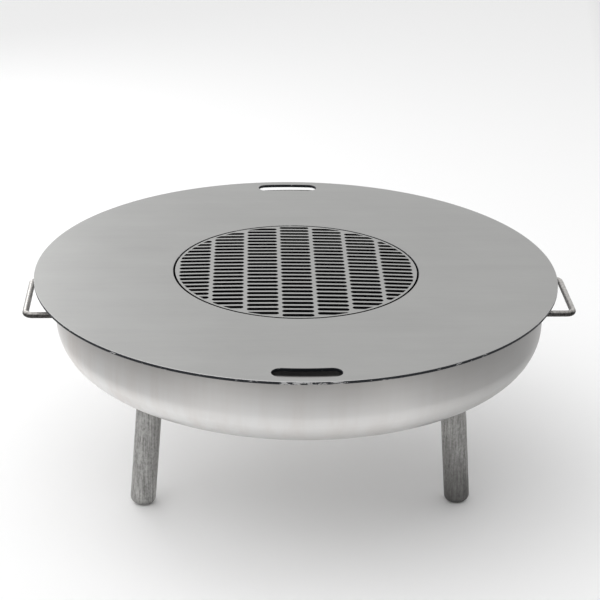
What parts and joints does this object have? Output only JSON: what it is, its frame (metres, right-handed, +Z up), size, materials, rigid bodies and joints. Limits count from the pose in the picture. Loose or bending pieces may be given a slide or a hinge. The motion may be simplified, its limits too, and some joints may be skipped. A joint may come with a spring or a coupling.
{
  "type": "fire pit with hot plate and grate",
  "caption": "Round spun steel fire bowl on short splayed tube legs, with bar handles, a loose ring-shaped hot plate with hand slots, and a slotted grate dropped into its centre hole.",
  "frame": {"origin": "on the ground under the bowl's axis", "axes": "+Z up; +X to the right-hand handle; +Y to the rear leg, so the two front legs and a hand slot face -Y"},
  "size_m": [1.0524, 1, 0.4117],
  "materials": {
    "bowl_steel": "bare steel, satin, with fine rings from spinning",
    "plate_steel": "bare steel, finely brushed, with a dark cut edge",
    "grate_steel": "bare steel, finely brushed, with dark laser-cut slots",
    "leg_steel": "raw drawn tube, dull and mottled",
    "handle_steel": "raw round bar, semi-bright",
    "bracket_steel": "raw flat bar",
    "fastener_steel": "zinc-plated"
  },
  "bodies": {
    "bowl_on_legs": {"fire_bowl": "bowl_steel", "leg_tube_front_right": "leg_steel", "foot_cap_front_right": "leg_steel", "leg_head_front_right": "leg_steel", "leg_washer_front_right": "fastener_steel", "leg_bolt_front_right": "fastener_steel", "leg_tube_rear": "leg_steel", "foot_cap_rear": "leg_steel", "leg_head_rear": "leg_steel", "leg_washer_rear": "fastener_steel", "leg_bolt_rear": "fastener_steel", "leg_tube_front_left": "leg_steel", "foot_cap_front_left": "leg_steel", "leg_head_front_left": "leg_steel", "leg_washer_front_left": "fastener_steel", "leg_bolt_front_left": "fastener_steel", "handle_right": "handle_steel", "handle_left": "handle_steel"},
    "hot_plate": {"plancha_plate": "plate_steel", "plate_lug_1": "bracket_steel", "plate_lug_2": "bracket_steel", "plate_lug_3": "bracket_steel", "plate_lug_4": "bracket_steel", "grate_tab_1": "bracket_steel", "grate_tab_2": "bracket_steel", "grate_tab_3": "bracket_steel", "grate_tab_4": "bracket_steel"},
    "grate": {"cooking_grate": "grate_steel"}
  },
  "joints": [
    {"name": "plate_lift", "type": "slide", "parent": "bowl_on_legs", "child": "hot_plate", "axis": [0, 0, 1], "range_m": [0, 0.3]},
    {"name": "grate_lift", "type": "slide", "parent": "hot_plate", "child": "grate", "axis": [0, 0, 1], "range_m": [0, 0.2]}
  ]
}
